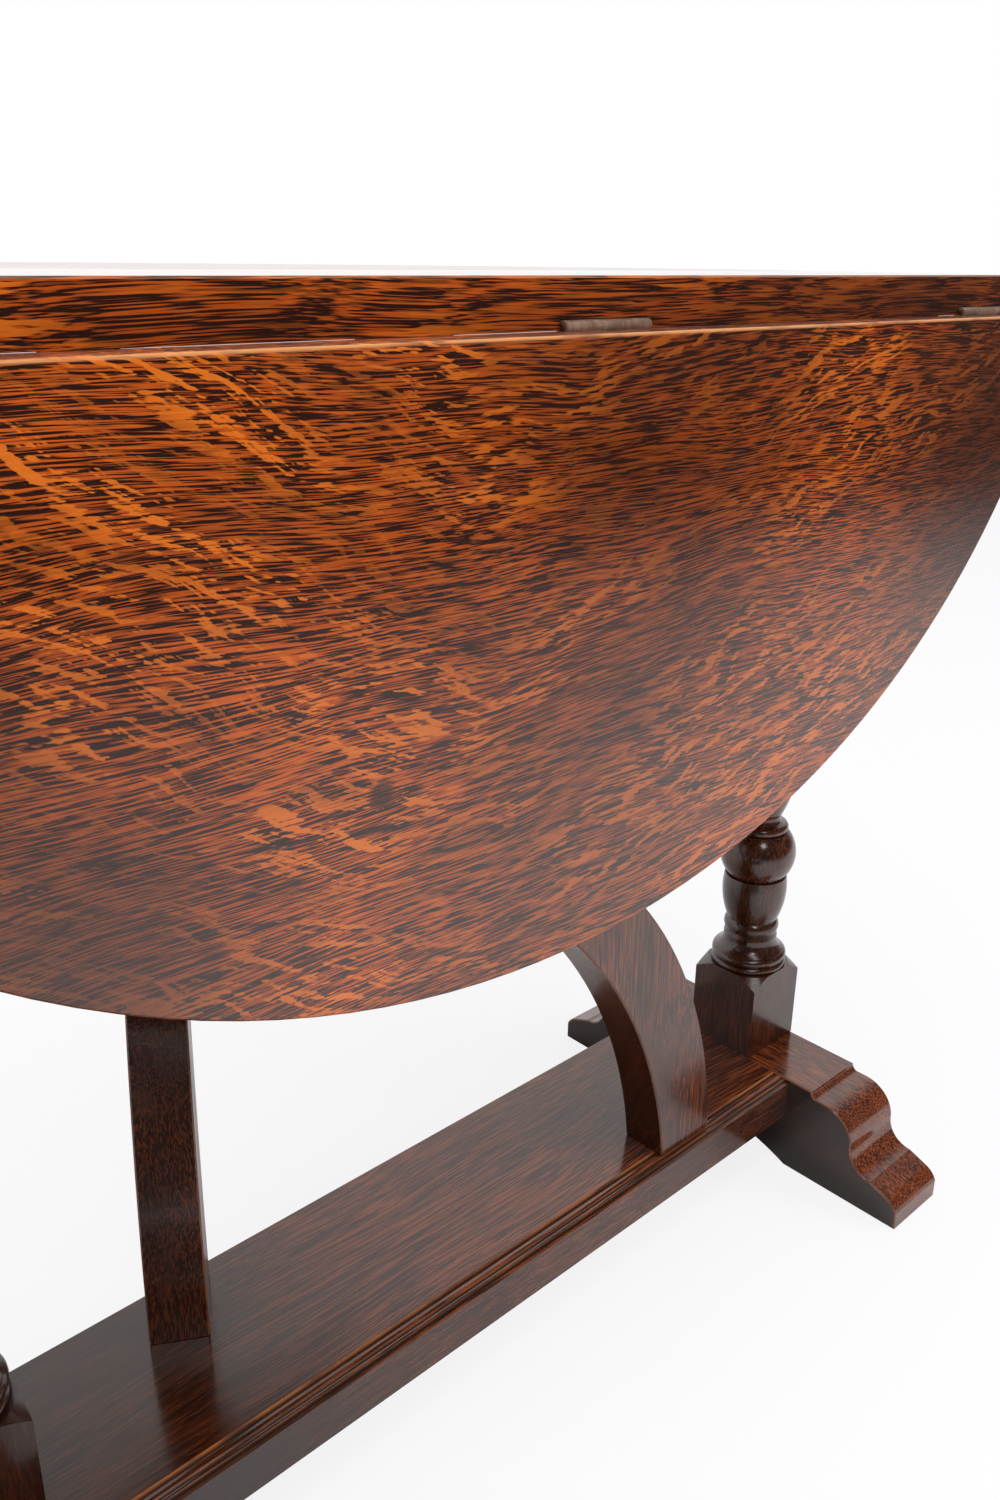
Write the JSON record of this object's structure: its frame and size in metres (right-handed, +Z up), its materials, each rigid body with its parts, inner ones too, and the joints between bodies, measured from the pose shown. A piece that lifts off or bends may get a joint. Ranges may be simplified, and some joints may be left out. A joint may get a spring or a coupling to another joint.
{
  "type": "butterfly folding table",
  "caption": "Oval drop-leaf table on a trestle base of turned columns and sledge feet, with a reeded platform and swinging swan-necked wings that hold up the hinged leaves.",
  "frame": {"origin": "on the floor, below the middle of the whole table as it stands with its back leaf up", "axes": "+X along the hinge lines from the left column to the right one, +Y to the raised back leaf, +Z up"},
  "size_m": [0.732, 0.4454, 0.517],
  "materials": {
    "oak_top": "French polished oak, warm brown",
    "oak_base": "French polished oak, dark brown",
    "beech_dowel": "plain beech",
    "hinge_brass": "worn, dull",
    "steel": "plain"
  },
  "bodies": {
    "frame": {"bearer_left": "oak_base", "bearer_right": "oak_base", "bearer_screws_left": "steel", "bearer_screws_right": "steel", "column_left": "oak_base", "column_right": "oak_base", "foot_left": "oak_base", "foot_right": "oak_base", "hinge_back_centre_pin": "steel", "hinge_back_centre_top_plate": "hinge_brass", "hinge_back_left_pin": "steel", "hinge_back_left_top_plate": "hinge_brass", "hinge_back_right_pin": "steel", "hinge_back_right_top_plate": "hinge_brass", "hinge_front_centre_pin": "steel", "hinge_front_centre_top_plate": "hinge_brass", "hinge_front_left_pin": "steel", "hinge_front_left_top_plate": "hinge_brass", "hinge_front_right_pin": "steel", "hinge_front_right_top_plate": "hinge_brass", "hinge_screws_back_top": "steel", "hinge_screws_front_top": "steel", "platform": "oak_base", "platform_dowels_left": "beech_dowel", "platform_dowels_right": "beech_dowel", "top_board": "oak_top"},
    "front_leaf": {"front_leaf": "oak_top", "hinge_front_centre_leaf_plate": "hinge_brass", "hinge_front_left_leaf_plate": "hinge_brass", "hinge_front_right_leaf_plate": "hinge_brass", "hinge_screws_front_leaf": "steel"},
    "back_leaf": {"back_leaf": "oak_top", "hinge_back_centre_leaf_plate": "hinge_brass", "hinge_back_left_leaf_plate": "hinge_brass", "hinge_back_right_leaf_plate": "hinge_brass", "hinge_screws_back_leaf": "steel"},
    "front_wing": {"front_wing": "oak_base", "front_wing_lower_pin": "steel", "front_wing_upper_pin": "steel"},
    "back_wing": {"back_wing": "oak_base", "back_wing_lower_pin": "steel", "back_wing_upper_pin": "steel"}
  },
  "joints": [
    {"name": "front_leaf_fold", "type": "hinge", "parent": "frame", "child": "front_leaf", "pos_m": [0, -0.16115, 0.4994], "axis": [-1, 0, 0], "range_deg": [0, 90]},
    {"name": "back_leaf_lift", "type": "hinge", "parent": "frame", "child": "back_leaf", "pos_m": [0, -0.02035, 0.4994], "axis": [1, 0, 0], "range_deg": [0, 2]},
    {"name": "front_wing_swing", "type": "hinge", "parent": "frame", "child": "front_wing", "pos_m": [0.1355, -0.12475, 0.0614], "axis": [0, 0, 1], "range_deg": [0, 5]},
    {"name": "back_wing_swing", "type": "hinge", "parent": "frame", "child": "back_wing", "pos_m": [-0.1355, -0.05675, 0.0614], "axis": [0, 0, 1], "range_deg": [-60, 30]}
  ]
}
